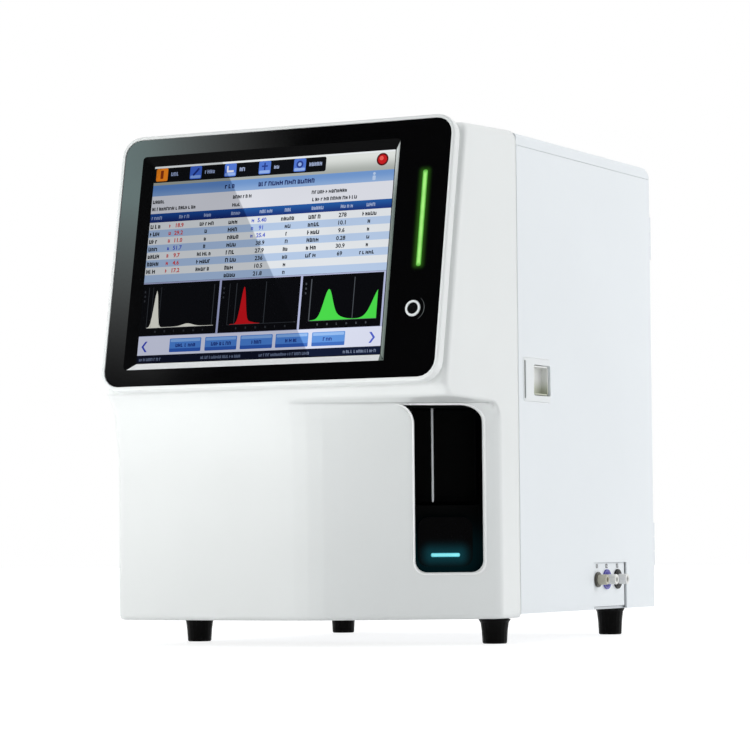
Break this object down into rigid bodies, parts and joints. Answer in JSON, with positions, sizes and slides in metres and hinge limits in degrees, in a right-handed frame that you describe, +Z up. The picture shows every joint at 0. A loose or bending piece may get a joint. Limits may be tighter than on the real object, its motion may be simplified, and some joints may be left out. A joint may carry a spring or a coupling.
{
  "type": "hematology analyzer",
  "caption": "Benchtop blood cell analyzer with a tilted touch screen over a slanted sample bay, white moulded front, sheet-metal enclosure and a hinged service door.",
  "frame": {"origin": "on the bench, under the middle of the bounding box", "axes": "+Z up, front (screen and sample bay) towards -Y, +X to the right of someone facing the front"},
  "size_m": [0.3018, 0.4183, 0.3979],
  "materials": {
    "moulded_white": "fine satin moulded ABS, very light warm white",
    "painted_white": "powder-coated sheet steel, white with a slight blue cast",
    "black_gloss": "glossy black front panel",
    "black_matte": "fine-grained matt black plastic",
    "screen": "lit LCD behind touch glass",
    "green_light": "translucent light guide, lit green",
    "cyan_light": "translucent light guide, lit cyan",
    "steel": "stainless steel",
    "zinc_sheet": "zinc-plated sheet",
    "aluminium": "machined, clear-anodised",
    "rubber": "matt black rubber",
    "board_green": "green circuit board with its parts",
    "clear_plastic": "clear to frosted acrylic",
    "blue_plastic": "blue plastic",
    "latch_grey": "pale grey plastic"
  },
  "bodies": {
    "housing": {"front_shell": "moulded_white", "display_rim": "moulded_white", "display_fascia": "black_gloss", "lcd_panel": "screen", "lcd_tray": "zinc_sheet", "status_light": "green_light", "button_ring": "steel", "bay_liner": "black_matte", "probe_frame": "zinc_sheet", "guide_rail": "steel", "probe_motor": "black_matte", "wash_block": "clear_plastic", "base_plate": "zinc_sheet", "top_cover": "painted_white", "left_panel": "painted_white", "rear_panel": "painted_white", "door_post": "zinc_sheet", "hinge_post": "zinc_sheet", "hinge_plate_lower": "steel", "hinge_plate_upper": "steel", "port_plate": "painted_white", "port_signal": "steel", "port_waste": "blue_plastic", "port_diluent": "black_matte", "fan_frame": "black_matte", "fan_guard": "steel", "mains_inlet": "black_matte", "socket_block": "steel", "foot_front_left": "rubber", "foot_front_right": "rubber", "foot_rear_left": "rubber", "foot_rear_right": "rubber", "centre_wall": "zinc_sheet", "main_board": "board_green", "power_supply": "aluminium", "syringe_bracket": "aluminium", "syringe_barrel_1": "clear_plastic", "syringe_barrel_2": "clear_plastic", "syringe_motor": "black_matte", "bath_bracket": "aluminium", "counting_bath_1": "clear_plastic", "counting_bath_2": "clear_plastic", "valve_manifold": "clear_plastic", "vacuum_pump": "black_matte", "waste_chamber": "clear_plastic"},
    "side_door": {"side_door": "painted_white", "hinge_leaf_lower": "steel", "hinge_leaf_upper": "steel", "latch_bezel": "latch_grey"},
    "latch": {"latch_slider": "latch_grey"},
    "standby_button": {"standby_button": "black_gloss"},
    "aspirate_key": {"aspirate_key": "black_gloss", "key_light": "cyan_light"},
    "probe_carriage": {"probe_carriage": "aluminium", "sample_probe": "steel"},
    "lead_screw": {"lead_screw": "steel"},
    "fan_rotor": {"fan_rotor": "black_matte"},
    "power_switch": {"power_switch": "black_matte"},
    "syringe_yoke": {"syringe_yoke": "aluminium"},
    "syringe_screw": {"syringe_screw": "steel"}
  },
  "joints": [
    {"name": "side_door_hinge", "type": "hinge", "parent": "housing", "child": "side_door", "pos_m": [0.1395, 0.20617, 0.0223], "axis": [0, 0, 1], "range_deg": [0, 110]},
    {"name": "latch_slide", "type": "slide", "parent": "side_door", "child": "latch", "axis": [0, 1, 0], "range_m": [0, 0.0045], "stiffness_N_per_m": 300, "springref_m": -0.003},
    {"name": "standby_press", "type": "slide", "parent": "housing", "child": "standby_button", "axis": [0, 0.9825, -0.186], "range_m": [0, 0.001], "stiffness_N_per_m": 600, "springref_m": -0.0008},
    {"name": "aspirate_press", "type": "slide", "parent": "housing", "child": "aspirate_key", "axis": [-0.5277, 0.8494, 0], "range_m": [0, 0.0025], "stiffness_N_per_m": 300, "springref_m": -0.002},
    {"name": "probe_lift", "type": "slide", "parent": "housing", "child": "probe_carriage", "axis": [0, 0, 1], "range_m": [0, 0.07]},
    {"name": "lead_screw_spin", "type": "hinge", "parent": "housing", "child": "lead_screw", "pos_m": [0.09561, -0.08702, 0.192], "axis": [0, 0, 1], "range_deg": [0, 3151]},
    {"name": "fan_spin", "type": "hinge", "parent": "housing", "child": "fan_rotor", "pos_m": [-0.0789, 0.18872, 0.29], "axis": [0, 1, 0], "continuous": true},
    {"name": "power_switch_rock", "type": "hinge", "parent": "housing", "child": "power_switch", "pos_m": [0.0761, 0.20137, 0.087], "axis": [0, 0, 1], "range_deg": [-7, 7]},
    {"name": "syringe_drive", "type": "slide", "parent": "housing", "child": "syringe_yoke", "axis": [0, 0, -1], "range_m": [0, 0.04]},
    {"name": "syringe_screw_spin", "type": "hinge", "parent": "housing", "child": "syringe_screw", "pos_m": [0.0481, 0.00785, 0.283], "axis": [0, 0, 1], "range_deg": [0, 3601]}
  ],
  "couplings": [
    {"joint": "lead_screw_spin", "follows": "probe_lift", "rad_per_m": 785.4},
    {"joint": "syringe_screw_spin", "follows": "syringe_drive", "rad_per_m": 1570.8}
  ]
}
